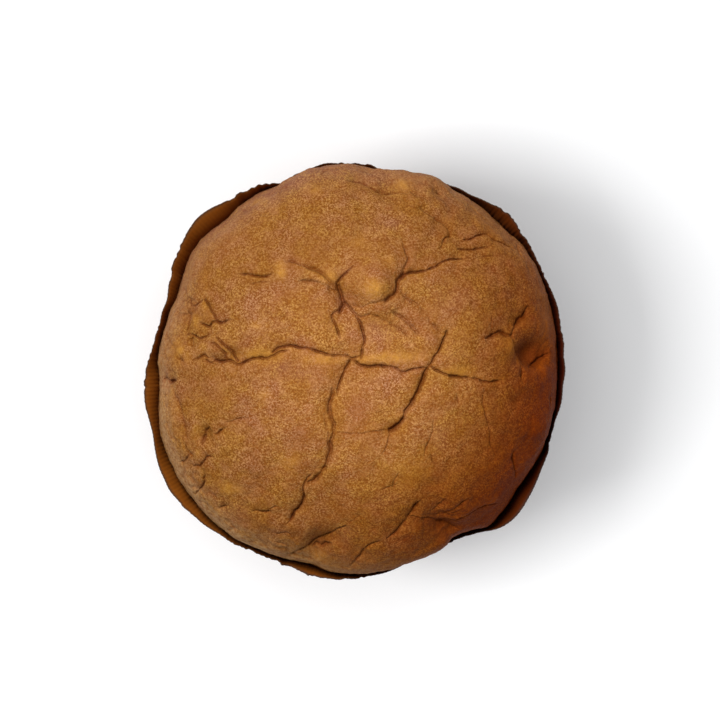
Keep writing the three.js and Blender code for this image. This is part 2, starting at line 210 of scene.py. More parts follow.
CRISP_FOLDS = [
    ("band, far left", 0.3, 0.3, (236, 274), (247, 274), (262, 276), (274, 273)),
    ("right side, short", 0.3, 0.3, (515, 449), (513, 458), (514, 466), (516, 474), (515, 479)),
    ("right hook, toe", 0.2, 0.3, (523, 364), (524, 373), (522, 380), (524, 386)),
    ("right rim nick", 0.2, 0.2, (551, 393), (551, 401), (549, 408)),
    ("upper right fold", 0.3, 0.3, (451, 236), (446, 239), (443, 244), (439, 249)),
    ("top right, long", 0.3, 0.7, (462, 239), (470, 239), (478, 236), (486, 235), (493, 240),
     (500, 243), (508, 246), (515, 248)),
    ("top right, edge", 0.3, 0.3, (519, 243), (520, 250), (523, 256)),
    ("top right, small", 0.2, 0.3, (456, 249), (463, 248), (470, 249), (480, 248), (490, 246)),
    ("top right nick", 0.2, 0.2, (433, 188), (439, 191), (444, 195)),
    ("lower left, middle", 0.4, 0.5, (211, 433), (217, 434), (221, 430), (228, 427)),
    ("rim fold one", 0.2, 0.3, (178, 463), (184, 461), (187, 457), (191, 453)),
    ("rim fold two", 0.2, 0.3, (191, 468), (195, 466), (200, 466), (204, 462), (207, 457), (213, 457)),
    ("rim fold three", 0.4, 0.3, (203, 471), (205, 475), (203, 478), (204, 483), (202, 488), (198, 491),
     (194, 495)),
    ("rim fold four", 0.2, 0.3, (217, 509), (222, 507), (230, 506)),
    ("bottom left", 0.3, 0.2, (250, 513), (255, 511), (261, 511), (268, 511)),
    ("left zigzag", 0.3, 0.4, (184, 299), (187, 302), (190, 300), (193, 306), (197, 304), (203, 300)),
    ("left flap, edge", 0.1, 1.1, (205, 299), (209, 306), (213, 314), (217, 321)),
    ("left flap, foot", 0.3, 0.5, (198, 322), (204, 325), (208, 326), (212, 323), (217, 322),
     (222, 322), (228, 320), (234, 320)),
    ("left arch", 0.3, 0.4, (186, 334), (192, 334), (199, 338), (205, 337), (210, 333)),
    ("left fold", 0.2, 0.9, (214, 335), (219, 339), (225, 346), (231, 353), (237, 360)),
    ("left arc, outer", 0.3, 0.3, (207, 344), (214, 343), (220, 347), (225, 353), (226, 359)),
    ("left fold, foot", 0.3, 0.4, (191, 361), (199, 358), (204, 355), (208, 358), (214, 357)),
    ("left fold, toe", 0.2, 0.3, (206, 360), (211, 363), (216, 361)),
    ("left edge wrinkle", 0.2, 0.4, (176, 355), (180, 359), (184, 362)),
]
HAIRLINES = [
    ("diagonal, tail", 0.2, 0.3, (390, 430), (388, 440), (385, 449), (381, 457)),
    ("band, far left foot", 0.2, 0.3, (249, 285), (258, 282), (271, 281)),
    ("long, twin", 0.2, 0.2, (324, 412), (325, 423), (328, 433), (327, 445)),
    ("lower right", 0.3, 0.3, (433, 415), (434, 425), (432, 434), (428, 443), (425, 452), (424, 458)),
    ("right side", 0.3, 0.4, (484, 387), (483, 397), (485, 410), (488, 420), (490, 430), (490, 443),
     (495, 456)),
    ("right hook, stem", 0.3, 0.3, (490, 312), (491, 320), (491, 328), (494, 333)),
    ("top right, low", 0.2, 0.3, (479, 258), (488, 257), (497, 256)),
    ("left rim line", 0.2, 0.2, (180, 409), (183, 418), (185, 429), (186, 440)),
    ("bottom left, end", 0.3, 0.2, (268, 509), (274, 507), (281, 508)),
    ("left arc, inner", 0.3, 0.3, (208, 349), (213, 347), (218, 351), (220, 357)),
    ("left edge nick", 0.2, 0.2, (160, 354), (165, 354), (168, 351)),
    ("bottom fold, start", 0.2, 0.3, (362, 514), (352, 521), (343, 528)),
    ("bottom plate", 0.3, 0.3, (268, 533), (278, 534), (289, 533), (294, 538), (297, 543)),
    ("bottom plate, foot", 0.2, 0.3, (272, 541), (282, 545), (290, 546)),
    ("edge over the pinch", 0.2, 0.9, (500, 503), (490, 506), (480, 510), (472, 514), (463, 518),
     (450, 521), (437, 522), (425, 521), (413, 519)),
    ("pinch ray three", 0.3, 0.6, (462, 508), (450, 513), (437, 516), (424, 516)),
    ("foot wrinkle", 0.3, 0.2, (337, 433), (350, 434), (365, 433), (379, 431), (390, 430)),
    ("lower wrinkle one", 0.2, 0.2, (381, 490), (390, 487), (396, 484)),
    ("lower wrinkle two", 0.2, 0.2, (399, 471), (394, 480), (393, 487)),
    ("side wrinkle one", 0.2, 0.2, (456, 391), (458, 398), (459, 406)),
    ("side wrinkle two", 0.2, 0.2, (466, 381), (467, 390), (470, 396)),
    ("side wrinkle three", 0.2, 0.2, (430, 452), (434, 462), (440, 466)),
]

# What each kind is like: depth and half width of its slit, depth and reach of the soft valley
# round it, and how strongly shade is painted into the slit
CREASE_KINDS = [
    (GASHES, 1.1, 1.0, 2.5, 3.1, 0.7),
    (CRACKS, 0.7, 0.55, 2.0, 2.7, 0.6),
    (GROOVES, 0.6, 1.0, 2.0, 3.4, 0.54),
    (FOLDS, 0.25, 0.7, 1.8, 3.2, 0.26),
    (STEPS, 0.5, 0.6, 2.0, 3.6, 0.36),
    (CRISP_FOLDS, 0.6, 0.45, 1.3, 1.4, 0.56),
    (HAIRLINES, 0.3, 0.35, 0.5, 1.6, 0.36),
]
LIP_REACH = 2.1      # a lip falls off over this distance from its slit
LIP_HIGHLIGHT = 0.5       # painted highlight: a lip is paler by this share for each millimetre that it rises
END_TAPER = 4.0      # a crease thins out over this length at an end that meets no other crease
LONGEST_TAPER = 0.45  # but over this share of its own length at most
LEAST_HALF = 0.05    # half width that is left of a slit at such an end
TAPER_POWER, SLIT_POWER = 0.7, 1.2  # a taper that thins out late, and a slit sharper than a V
JOIN_REACH = 1.5     # an end this near another crease meets it
ROUTE_STEP = 0.8     # length of the straight stretches that a route is cut into
WIGGLES = [(3.2, 0.38), (1.1, 0.14)]  # size and sideways reach of the unevenness of a route
STRENGTHS = [(6, 0.45, 3), (2, 0.25, 13)]  # size, reach and noise offset of stronger stretches
SHADE_REACH = 1.5    # painted shade darkens the crust this far round a slit,
SHADE_SHARE = 0.35   # by this share of the shade painted into the slit

# Fine wrinkles: they follow the lines where a smooth noise crosses zero. For each of two sets:
# its size and noise offset, and the noise offset and thresholds of the patches that have it
WRINKLES = [(9, 31, 7, (-0.15, 0.3)), (6.3, 47, 17, (0, 0.4))]
WRINKLE_WIDTH = 0.09
WRINKLE_DEPTH = 0.65
WRINKLE_PATCH = 24   # size of the patches
# painted shade along the fine wrinkles
WRINKLE_SHADE = 0.3
CALM_WRINKLES = 0.35  # strength of the wrinkles in the calm middle
BROWN_SHADE_WRINKLES = 0.3  # and on the side painted browner and in shade
ROUGH_FROM = (0.35, 0.9)  # from the calm middle to the rough edge, as shares of the radius
RELIEF_FADE = (0.95, 1)   # the relief ends between these shares, where the edge grain takes over

# Uneven crust: size and rise of its swells. The fine ones grow towards the edge.
SWELLS = [(19, 1.1), (8, 0.55)]
FINE_SWELLS = [(3.6, 0.24), (1.8, 0.11)]
ROUGHNESS = (0.6, 1.8)  # strength of the fine ones in the middle and at the edge
EDGE_GRAIN = [(5, 0.4), (1.7, 0.25)]  # size and reach of the unevenness of the crust's edge
EDGE_GRAIN_FROM = 0.92  # it sets in between this share of the radius and the edge
EDGE_GRAIN_RISE = 6     # and, on the side, over this height above the foot of the flare
COVERS_FROM = 0.8       # overhang from which the edge grain may stand out over the paper

# Ochre spots, partly painted highlight on lit lips and slopes: name, place in the picture, reach right
# and down in millimetres, strength
PALE_SPOTS = [
    ("foot of the knob", (374, 292), (4.8, 3.6), 1.15),
    ("lip right of the middle", (390, 358), (13, 2.4), 0.95),
    ("lip left of the middle", (258, 354), (9, 1.8), 0.9),
    ("lip near the middle", (325, 359), (8, 2.2), 0.85),
    ("lip, far right", (455, 371), (9, 2), 0.7),
    ("fold band foot", (281, 272), (2.2, 3.6), 1.0),
    ("fold band", (330, 278), (3.4, 2.4), 1.0),
    ("left edge", (179, 350), (2, 3.2), 1.0),
    ("left patch", (195, 320), (1.6, 2.6), 0.9),
    ("left flap", (207, 308), (2, 4), 0.5),
    ("left arcs", (202, 348), (3, 2), 0.5),
    ("left fold foot", (188, 357), (1.6, 2), 0.6),
    ("lower left", (231, 489), (4, 2.6), 0.9),
    ("lower left root", (196, 430), (2, 2.6), 0.5),
    ("lower left rim", (198, 454), (1.8, 2.4), 0.6),
    ("top", (403, 183), (3.5, 3), 0.7),
    ("right dent", (543, 368), (1.8, 2.8), 1.2),
    ("right hook", (511, 347), (2.6, 3.6), 1.3),
    ("right hook, foot", (520, 361), (1.4, 2.8), 0.8),
    ("upper left edge", (258, 201), (4, 1.6), 0.7),
    ("left of the middle", (260, 325), (4, 2), 0.5),
    ("top left", (316, 190), (3, 2), 0.5),
    ("left plate", (265, 395), (3, 3), 0.5),
    ("above the knob", (360, 240), (4, 3), 0.4),
    ("lower plate", (290, 462), (4, 3), 0.5),
    ("bottom plate", (284, 538), (4, 1.6), 0.4),
    ("bottom", (320, 558), (3, 2.4), 0.6),
    ("crown of the knob", (390, 262), (3, 3), 0.3),
    ("low middle", (402, 468), (9, 6), 0.35),
    ("right edge", (546, 325), (3, 9), 0.6),
]

# Dull, plum-brown spots, told in the same way
DULL_SPOTS = [
    ("under the main crack", (282, 367), (5, 2.2), 0.9),
    ("under the main crack, nearer", (302, 374), (5, 2.4), 0.6),
    ("top", (392, 223), (4, 2), 0.8),
    ("right plate", (442, 437), (3, 6), 0.7),
    ("left of the knob", (345, 272), (3, 3), 0.5),
    ("lower right", (385, 498), (6, 3), 0.5),
    ("upper left edge", (215, 225), (5, 9), 0.6),
    ("bottom", (345, 535), (5, 4), 0.6),
    ("right of the knob", (450, 300), (7, 4), 0.5),
    ("under the knob", (380, 330), (9, 4), 0.5),
    ("lower left", (236, 510), (6, 3), 0.5),
]
BROWN_SHADE_SIDE = math.radians(335)  # the side of the loaf painted darkest: painted shade away from the light, and deeper browning
TOASTED = math.radians(318)   # the side whose crust is golden brown
SHEEN_SIDE = math.radians(235)  # the side whose edge gets the most painted grey sheen of grazing light
PLUM = math.radians(118)      # the side whose edge is dull and plum-brown, a painted grey sheen of grazing light
PAPER_SHADE_SIDE = math.radians(355)    # the side of the paper that is painted in shade, where the loaf shadows it

# How narrow each is round its side, as a power
BROWN_SHADE_NARROW, TOAST_NARROW, PLUM_NARROW, PAPER_SHADE_NARROW = 3.4, 2.5, 4, 1.4
BROWN_SHADE_STRENGTH, PLUM_STRENGTH = 1.15, 1.6
LEAST_SHEEN = 0.4  # on the side away from the one with the most painted sheen
# From where to where the tones of the crust set in, as shares of the radius
EDGE_SHADE_FROM, TOASTED_FROM, BROWN_SHADE_FROM = (0.2, 0.8), (0.2, 0.7), (0.42, 0.95)
PLUM_FROM, SHEEN_FROM = (0.85, 1), (0.86, 1)


def smooth(value, low, high):
    share = np.clip((value - low) / (high - low), 0, 1)
    return share * share * (3 - 2 * share)


def mix(low, high, share):
    return low + (high - low) * share


def towards(angle, middle, narrow=1):
    """1 on the side of the middle angle, falling to 0 on the other side."""
    return (0.5 + 0.5 * np.cos(angle - middle)) ** narrow


def curve_between(start, end, leave, arrive, share, span=1):
    """A smooth curve from start to end, which leaves and arrives with the slopes given."""
    rest = 1 - share
    held = start * (1 + 2 * share) * rest**2 + end * (3 - 2 * share) * share**2
    return held + span * share * rest * (leave * rest - arrive * share)


def angle_of(points):
    return np.arctan2(points[:, 1], points[:, 0])


def even_angles(count):
    """Angles of points that are evenly spaced round a ring."""
    return np.arange(count) / count * TAU


def ring(angle, radius, z):
    """Points at each angle, at a radius and a height."""
    return np.column_stack([radius * np.cos(angle), radius * np.sin(angle), z + 0 * angle])


# ---- The shape that loaf and case share ----
def plan_at(places, over_rim):
    """Where places of the picture lie in plan, on what is this far over the rim."""
    scale = PICTURE_AT_RIM / PICTURE_SIZE * (1 - np.reshape(over_rim, (-1, 1)) / CAMERA_OVER_RIM)
    from_middle = (np.array(places, float) - PICTURE_SIZE / 2) * (1, -1)
    return CAMERA_AT + from_middle * scale


def outline(trace):
    """A smooth closed outline through traced places, read at any angle."""
    plan = plan_at(trace, 0)
    degrees = np.degrees(angle_of(plan)) % 360
    order = np.argsort(degrees)
    starts = degrees[order]
    radii = np.hypot(*plan[order].T)
    spans = np.diff(np.append(starts, starts[0] + 360))
    slopes = (np.roll(radii, -1) - np.roll(radii, 1)) / (spans + np.roll(spans, 1))

    def radius_at(angle):
        turned = (np.degrees(angle) - starts[0]) % 360 + starts[0]
        first = np.searchsorted(starts, turned, side="right") - 1
        after = (first + 1) % len(radii)
        span = spans[first]
        share = (turned - starts[first]) / span
        return curve_between(radii[first], radii[after], slopes[first], slopes[after], share, span)

    return radius_at


rim_radius = outline(RIM_TRACE)
seen_radius = outline(CRUST_TRACE)  # of the crust, as if its edge were as high as the rim


def overhang(angle):
    """How far the crust hangs over the paper: 0 inside, 1 where it covers the rim."""
    return smooth(seen_radius(angle) - (rim_radius(angle) - PAPER), *HANGS_FROM)


def rim_height(angle):
    def wave(count, rise, crest):
        return rise * np.cos(count * (angle - math.radians(crest)))

    return RIM_HEIGHT + sum(wave(*each) for each in RIM_WAVES)


def crust_height(angle):
    """Height of the crust at its widest."""
    return rim_height(angle) + mix(-CRUST_DROP, CRUST_LIFT, overhang(angle))


def crust_radius(angle):
    """Radius of the crust at its widest. The higher its edge is, the larger it looks from above."""
    return seen_radius(angle) * (1 - (crust_height(angle) - RIM_HEIGHT) / CAMERA_OVER_RIM)


def wall_radius(angle, share):
    """Outside radius of the paper at a share of its height."""
    rim = rim_radius(angle)
    shoulder = np.minimum(crust_radius(angle) + SHOULDER_GAP, rim - PAPER)
    below = mix(BASE_RADIUS, shoulder, np.clip(share / FLARE_START, 0, 1) ** 2)
    flare = np.clip((share - FLARE_START) / (1 - FLARE_START), 0, 1)
    return np.where(share <= FLARE_START, below, mix(shoulder, rim, flare**2))


def out_share(points):
    """Distance from the middle as a share of the crust's radius in that direction."""
    return np.hypot(points[:, 0], points[:, 1]) / crust_radius(angle_of(points))


def crown_height(plan):
    """Height of the smooth crown over places in plan."""
    widest = crust_height(angle_of(plan))
    up = np.clip(1 - out_share(plan) ** CROWN_FULLNESS, 0, 1) ** (1 / CROWN_FULLNESS)
    return widest + (LOAF_TOP - widest) * up


def traced_on_crown(places):
    """Where places of the picture lie in plan on the crown."""
    plan = plan_at(places, 0)
    for _ in range(PLACING_ROUNDS):
        plan = plan_at(places, crown_height(plan) - RIM_HEIGHT)
    return plan


def on_crown(plan):
    return np.column_stack([plan, crown_height(plan)])


# ---- Seeded noise ----
LATTICE = np.random.default_rng(2373).uniform(-1, 1, (32, 32, 32))


def noise(points, size, offset):
    """Smooth noise between -1 and 1, whose lumps are about this size. Each offset gives another."""
    place = points / size + offset
    cell = np.floor(place).astype(int)
    share = smooth(place - cell, 0, 1)
    total = 0
    for corner in np.ndindex(2, 2, 2):
        weight = np.prod(np.where(corner, share, 1 - share), axis=1)
        index = (cell + corner) % len(LATTICE)
        total = total + weight * LATTICE[index[:, 0], index[:, 1], index[:, 2]]
    return total


# ---- Creases as relief ----
def crease_curve(route):
    """An uneven curve on the smooth crown through the traced places of a route."""
    corners = traced_on_crown(route)
    before = np.vstack([2 * corners[0] - corners[1], corners[:-1]])
    after = np.vstack([corners[1:], 2 * corners[-1] - corners[-2]])
    slopes = (after - before) / 2
    curve = [corners[0]]
    for start, end, leave, arrive in zip(corners[:-1], corners[1:], slopes[:-1], slopes[1:]):
        steps = max(1, round(np.linalg.norm(end - start) / ROUTE_STEP))
        for share in np.arange(1, steps + 1) / steps:
            curve.append(curve_between(start, end, leave, arrive, share))
    curve = np.array(curve)
    flat = np.column_stack([curve, np.zeros(len(curve))])
    for size, reach in WIGGLES:
        curve = curve + reach * np.column_stack([noise(flat, size, 11), noise(flat, size, 23)])
    return on_crown(curve)


def distance_to(curve, points):
    """Each point's distance to a curve, side of it (1 left, -1 right), place along it; its length."""
    away = np.full(len(points), np.inf)
    side = np.ones(len(points))
    along = np.zeros(len(points))
    walked = 0
    for start, end in zip(curve[:-1], curve[1:]):
        step = end - start
        length = np.linalg.norm(step)
        share = np.clip((points - start) @ step / length**2, 0, 1)
        here = np.linalg.norm(points - start - share[:, None] * step, axis=1)
        closer = here < away
        away[closer] = here[closer]
        along[closer] = walked + share[closer] * length
        across = step[0] * (points[:, 1] - start[1]) - step[1] * (points[:, 0] - start[0])
        side[closer] = np.sign(across[closer])
        walked += length
    return away, side, along, walked


def near_curve(points, curve, reach):
    """The points in the box round a curve, grown by the reach."""
    inside = (points > curve.min(0) - reach) & (points < curve.max(0) + reach)
    return np.flatnonzero(np.all(inside, axis=1))


class Creases:
    """All creases as curves on the smooth crown, and whether each end meets another crease."""

    def __init__(self):
        self.rows = [(kind, *crease) for creases, *kind in CREASE_KINDS for crease in creases]
        self.curves = [crease_curve(route) for _, _, _, _, *route in self.rows]
        self.joined = [
            [self.meets_another(index, end) for end in curve[[0, -1]]]
            for index, curve in enumerate(self.curves)
        ]

    def meets_another(self, own, end):
        others = np.vstack([curve for index, curve in enumerate(self.curves) if index != own])
        return np.linalg.norm(others - end, axis=1).min() < JOIN_REACH

    def distance(self, points, reach):
        """Distance to the nearest crease, where it is less than the reach."""
        nearest = np.full(len(points), reach)
        for curve in self.curves:
            chosen = near_curve(points, curve, reach)
            nearest[chosen] = np.minimum(nearest[chosen], distance_to(curve, points[chosen])[0])
        return nearest

    def relief(self, points):
        """Depth of slits and valleys, height of lips, and painted shade round slits, at points of the
        crown.
        """
        most = np.zeros((4, len(points)))
        uneven = 1 + sum(reach * noise(points, size, offset) for size, reach, offset in STRENGTHS)
        for curve, joined, (kind, _, left, right, *_) in zip(self.curves, self.joined, self.rows):
            slit_depth, slit_half, valley_depth, valley_reach, darkness = kind
            chosen = near_curve(points, curve, 4 * valley_reach)
            away, side, along, length = distance_to(curve, points[chosen])
            taper = min(END_TAPER, LONGEST_TAPER * length)
            start_taper = 1 if joined[0] else np.clip(along / taper, 0, 1)
            end_taper = 1 if joined[1] else np.clip((length - along) / taper, 0, 1)
            size = (start_taper * end_taper) ** TAPER_POWER * uneven[chosen]
            half = slit_half * size + LEAST_HALF
            core = np.clip(1 - away / half, 0, 1)
            slit = slit_depth * size * core**SLIT_POWER
            valley = valley_depth * size * np.exp(-away / valley_reach)
            lift = np.where(side > 0, left, right) * size * np.exp(-away / LIP_REACH)
            lip = lift * (1 - np.exp(-((away / half) ** 2)))
            # painted shade: the slit, and a band round it, are darkened
            stain_and_shade = np.clip(np.sqrt(core) + SHADE_SHARE * np.exp(-away / SHADE_REACH), 0, 1)
            painted_shade = darkness * np.minimum(size, 1) * stain_and_shade
            most[:, chosen] = np.maximum(most[:, chosen], [slit, valley, lip, painted_shade])
        return most


def wrinkle_lines(points):
    """At most 1 on the fine wrinkles, falling to 0 beside them."""
    strongest = 0
    for size, offset, patch_offset, threshold in WRINKLES:
        lines = np.exp(-((noise(points, size, offset) / WRINKLE_WIDTH) ** 2))
        patch = smooth(noise(points, WRINKLE_PATCH, patch_offset), *threshold)
        strongest = np.maximum(strongest, lines * patch)
    brown = towards(angle_of(points), BROWN_SHADE_SIDE, 2)
    outer = smooth(out_share(points), *ROUGH_FROM)
    return strongest * mix(CALM_WRINKLES, 1, outer) * mix(1, BROWN_SHADE_WRINKLES, brown)


# ---- Meshes ----
def add_object(name, data):
    thing = bpy.data.objects.new(name, data)
    bpy.context.scene.collection.objects.link(thing)
    return thing


def make_mesh(name, points, faces, attributes):
    """A smooth mesh from points in millimetres, with a number at each corner for each attribute."""
    mesh = bpy.data.meshes.new(name)
    mesh.from_pydata((points * MM).tolist(), [], faces.tolist())
    mesh.update()
    for key, values in attributes.items():
        layer = mesh.attributes.new(key, "FLOAT", "POINT")
        layer.data.foreach_set("value", np.asarray(values, np.float32))
    mesh.shade_smooth()
    return add_object(name, mesh)


def band(first, second, count):
    """Triangles between two rings of equal count; the first is the upper or inner one."""
    upper, lower = first + np.arange(count), second + np.arange(count)
    after, below = np.roll(upper, -1), np.roll(lower, -1)
    return np.vstack([np.column_stack([upper, lower, below]), np.column_stack([upper, below, after])])


def fan(first, middle, count):
    """Triangles between a ring and the point in its middle."""
    here = first + np.arange(count)
    return np.column_stack([here, np.full(count, middle), np.roll(here, -1)])


# How a triangle is cut whose first none to three edges are split. Its corners are 0 to 2, and the
# middles of its edges are 3 to 5.
CUTS = [
    [(0, 1, 2)],
    [(0, 3, 2), (3, 1, 2)],
    [(3, 1, 4), (0, 3, 4), (0, 4, 2)],
    [(0, 3, 5), (3, 1, 4), (5, 4, 2), (3, 4, 5)],
]


def split_edges(points, faces, choose):
    """Splits the edges that the function chooses at their middles, with the triangles on them."""
    pairs = np.sort(np.stack([faces, np.roll(faces, -1, axis=1)], axis=2), axis=2)
    keys, place = np.unique(pairs[:, :, 0] * len(points) + pairs[:, :, 1], return_inverse=True)
    middles = points[np.column_stack([keys // len(points), keys % len(points)])].mean(axis=1)
    chosen = choose(middles)
    added = np.full(len(keys), -1)
    added[chosen] = len(points) + np.arange(chosen.sum())
    halves = added[place.reshape(faces.shape)]
    is_split = halves >= 0
    first = np.argmax(is_split & ~np.roll(is_split, 1, axis=1), axis=1)
    order = (np.arange(3) + first[:, None]) % 3
    corners = np.hstack([np.take_along_axis(each, order, axis=1) for each in (faces, halves)])
    count = is_split.sum(axis=1)
    pieces = [corners[count == number][:, cut] for number in range(4) for cut in CUTS[number]]
    return np.vstack([points, middles[chosen]]), np.vstack(pieces)


# ---- The loaf ----
CROWN_RINGS = 96
SIDE_ROWS = 5
FINE_REACHES = (1.9, 0.9)  # the mesh is halved this near a crease, once for each
WRINKLE_FINE = 0.35        # and once where the wrinkle lines are stronger than this
FINE_END = 0.01            # but not in this last share of the radius
PROFILE_SAMPLES = 2000
HIDDEN_SHARES = (0.6, 0.3)  # of the rim's height, for the rings on the hidden side


def crown_shares(count):
    """Radius shares of the rings, evenly spaced along the crown's profile."""
    quarter = np.linspace(0, TAU / 4, PROFILE_SAMPLES)
    out = np.sin(quarter) ** (2 / CROWN_FULLNESS)
    up = np.cos(quarter) ** (2 / CROWN_FULLNESS)
    rise = (LOAF_TOP - RIM_HEIGHT) / BASE_RADIUS
    steps = np.hypot(np.diff(out), rise * np.diff(up))
    travelled = np.append(0, np.cumsum(steps))
    return np.interp(np.linspace(0, travelled[-1], count + 1), travelled, out)


def crown_disc(rings):
    """Plan points and triangles of a disc whose ring k has 6 k corners, the middle first."""
    shares = crown_shares(rings)
    points = [[(0, 0)]]
    faces = []
    for number in range(1, rings + 1):
        angle = even_angles(6 * number)
        points.append(ring(angle, crust_radius(angle) * shares[number], 0)[:, :2])
        inner_count = max(1, 6 * (number - 1))
        inner_start = 1 + 3 * (number - 1) * (number - 2) if number > 1 else 0
        outer_start = 1 + 3 * number * (number - 1)
        for corner in range(6 * number):
            sector, step = divmod(corner, number)
            inner = inner_start + (corner - sector) % inner_count
            after = outer_start + (corner + 1) % (6 * number)
            faces.append((inner, outer_start + corner, after))
            if step < number - 1:
                faces.append((inner, after, inner_start + (corner - sector + 1) % inner_count))
    return np.vstack(points), np.array(faces)


def loaf_side(angle):
    """Rings down the side of the loaf, each as radius and height at every angle."""
    rim = rim_height(angle)
    cover = overhang(angle)

    def inside(z):
        return wall_radius(angle, z / rim) - PAPER - GAP

    flare_foot = FLARE_START * rim
    below_widest = mix(crust_height(angle), flare_foot, 1 / (SIDE_ROWS + 1))
    tuck_top = mix(below_widest, rim + OVERHANG_CLEARANCE, cover)
    rows = []
    for row in range(SIDE_ROWS + 1):
        z = mix(tuck_top, flare_foot, row / SIDE_ROWS)
        radius = np.minimum(crust_radius(angle), inside(z))
        rows.append((radius - GAP * cover * (row == 0), z))
    floor = np.full(len(angle), PAPER + GAP)
    below = [rim * share for share in HIDDEN_SHARES] + [floor + BASE_FILLET]
    rows += [(inside(z), z) for z in below]
    return rows + [(inside(floor) - BASE_FILLET, floor)]


def smooth_loaf():
    """The loaf without relief: points with a mark that is 1 on the crown, and triangles."""
    plan, faces = crown_disc(CROWN_RINGS)
    points = np.column_stack([on_crown(plan), np.ones(len(plan))])
    columns = 6 * CROWN_RINGS
    around = even_angles(columns)
    parts = [faces]
    for radius, z in loaf_side(around):
        parts.append(band(len(points) - columns, len(points), columns))
        points = np.vstack([points, np.column_stack([ring(around, radius, z), 0 * z])])
    parts.append(fan(len(points) - columns, len(points), columns))
    return np.vstack([points, [0, 0, PAPER + GAP, 0]]), np.vstack(parts)


def spots(plan, rows):
    """How strong each of some soft spots is at each place in plan."""
    middles = traced_on_crown([place for _, place, _, _ in rows])
    return [
        strength * np.exp(-(((plan - middle) / reach) ** 2).sum(axis=1))
        for middle, (_, _, reach, strength) in zip(middles, rows)
    ]


def edge_push(points, outward):
    """How far the edge grain pushes points out: both ways at 1, only inwards at 0."""
    uneven = sum(reach * noise(points, size, 5) for size, reach in EDGE_GRAIN)
    return uneven - (1 - outward) * sum(reach for _, reach in EDGE_GRAIN)


def refined_loaf(creases):
    """The loaf without relief, with smaller triangles along creases and wrinkles."""
    points, faces = smooth_loaf()

    def split(is_fine):
        def chosen(middles):
            inner = (middles[:, 3] == 1) & (out_share(middles) < RELIEF_FADE[1] - FINE_END)
            return inner & is_fine(middles[:, :3])

        return split_edges(points, faces, chosen)

    for reach in FINE_REACHES:
        points, faces = split(lambda middles: creases.distance(middles, reach) < reach)
    return split(lambda middles: wrinkle_lines(middles) > WRINKLE_FINE)


def make_loaf():
    creases = Creases()
    points, faces = refined_loaf(creases)
    crown = points[:, 3] == 1
    base = on_crown(points[crown, :2])
    plan = base[:, :2]
    out = out_share(base)
    fade = 1 - smooth(out, *RELIEF_FADE)
    outward = np.column_stack([plan / 2, base[:, 2] - crust_height(angle_of(plan)) / 2])
    outward /= np.linalg.norm(outward, axis=1)[:, None]
    rough = mix(*ROUGHNESS, smooth(out, *ROUGH_FROM))
    swells = sum(rise * noise(base, size, size) for size, rise in SWELLS)
    swells += rough * sum(rise * noise(base, size, size) for size, rise in FINE_SWELLS)
    slit, valley, lip, painted_shade = creases.relief(base)
    wrinkles = wrinkle_lines(base)
    rises = sum(spots(plan, LUMPS))
    relief = rises + swells + lip - valley - slit - WRINKLE_DEPTH * wrinkles
    # painted shade in the hollows
    hollow = HOLLOW_SHADE * np.clip(-rises, 0, None)

    angle = angle_of(points)
    covered = smooth(overhang(angle), COVERS_FROM, 1) * crown
    flare_foot = FLARE_START * RIM_HEIGHT
    near_edge = smooth(points[:, 2], flare_foot, flare_foot + EDGE_GRAIN_RISE)
    near_edge[crown] = smooth(out, EDGE_GRAIN_FROM, 1)
    push = near_edge * edge_push(points[:, :3], covered)
    points[crown, :3] = base + outward * (relief * fade)[:, None]
    points[:, :3] += ring(angle, push, 0)

    def everywhere(values, elsewhere=0):
        """Values of the crown, put among those of all points."""
        full = np.full(len(points), elsewhere, float)
        full[crown] = values
        return full

    def strongest(*layers):
        return everywhere(np.maximum.reduce(layers) * fade)

    edge = everywhere(out, 1)
    side = np.clip(BROWN_SHADE_STRENGTH * towards(angle, BROWN_SHADE_SIDE, BROWN_SHADE_NARROW), 0, 1)
    plum = smooth(edge, *PLUM_FROM) * towards(angle, PLUM, PLUM_NARROW)
    edge_sheen = smooth(edge, *SHEEN_FROM) * mix(LEAST_SHEEN, 1, towards(angle, SHEEN_SIDE))
    attributes = {
        "painted_shade": strongest(painted_shade, WRINKLE_SHADE * wrinkles, hollow),
        "ochre_and_highlight": strongest(LIP_HIGHLIGHT * lip, *spots(plan, PALE_SPOTS)),
        "dull": np.maximum(strongest(*spots(plan, DULL_SPOTS)), PLUM_STRENGTH * plum),
        "edge_shade": smooth(edge, *EDGE_SHADE_FROM),
        "browned_and_shaded": smooth(edge, *BROWN_SHADE_FROM) * side,
        "toasted": smooth(edge, *TOASTED_FROM) * towards(angle, TOASTED, TOAST_NARROW),
        "edge_sheen": edge_sheen * (1 - side) * (1 - plum),
    }
    return make_mesh("loaf_crust", points[:, :3], faces, attributes)


# ---- The paper case ----
FLUTE_PITCH = 1.7
COLUMNS_PER_FLUTE = 6
SHEET = 0.3             # thickness of the paper itself
RIM_FLUTE = 0.12        # the flutes are pressed flat to this share at the rim
HEM_RADIUS = 71         # the wall is folded in under the base as far as this
HEM_FLUTE = 0.2
BASE_RECESS = 0.4
LOWEST_SHARE = 0.04     # of the wall's height, for its lowest ring
WALL_RINGS, FLARE_RINGS = 7, 9
LOOSE_FROM = (0.76, 0.94)  # shares of the height over which the paper comes loose
RIM_FROM = (0.985, 1)   # shares of the height over which the singed rim sets in
BEND_SIZE, BEND_REACH = 6, 0.5  # of the flat bends along the rim
FRAY_SIZE, FRAY_REACH = 1.3, 0.7  # of the fray along the rim
FRAY_PATCH, FRAY_FROM = 14, (-0.3, 0.4)  # size and thresholds of the frayed stretches
SEAM = (248.8, 257.5)   # degrees between which the two ends of the paper overlap


